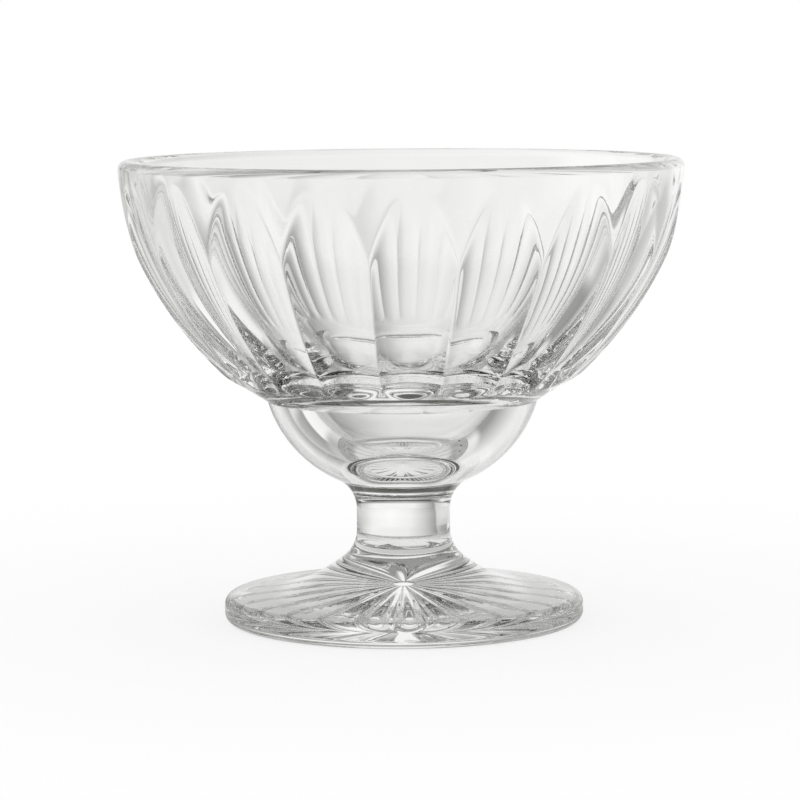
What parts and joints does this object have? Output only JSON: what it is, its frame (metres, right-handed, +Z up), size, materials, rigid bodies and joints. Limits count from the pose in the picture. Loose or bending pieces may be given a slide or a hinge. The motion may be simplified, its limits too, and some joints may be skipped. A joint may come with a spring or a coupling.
{
  "type": "footed dessert glass",
  "caption": "Low footed dessert coupe of clear pressed glass: wide bowl with hollow flutes, round lower cup, short stem and a foot with rays under it.",
  "frame": {"origin": "middle of the face the foot stands on", "axes": "+Z up along the glass's axis of symmetry, towards the open bowl; the middle of one flute and of one foot ray faces -Y"},
  "size_m": [0.11, 0.11, 0.0906],
  "materials": {
    "clear_glass": "fire-polished clear pressed glass"
  },
  "bodies": {
    "root": {"bowl": "clear_glass", "cup": "clear_glass", "stem": "clear_glass", "foot": "clear_glass"}
  },
  "joints": []
}
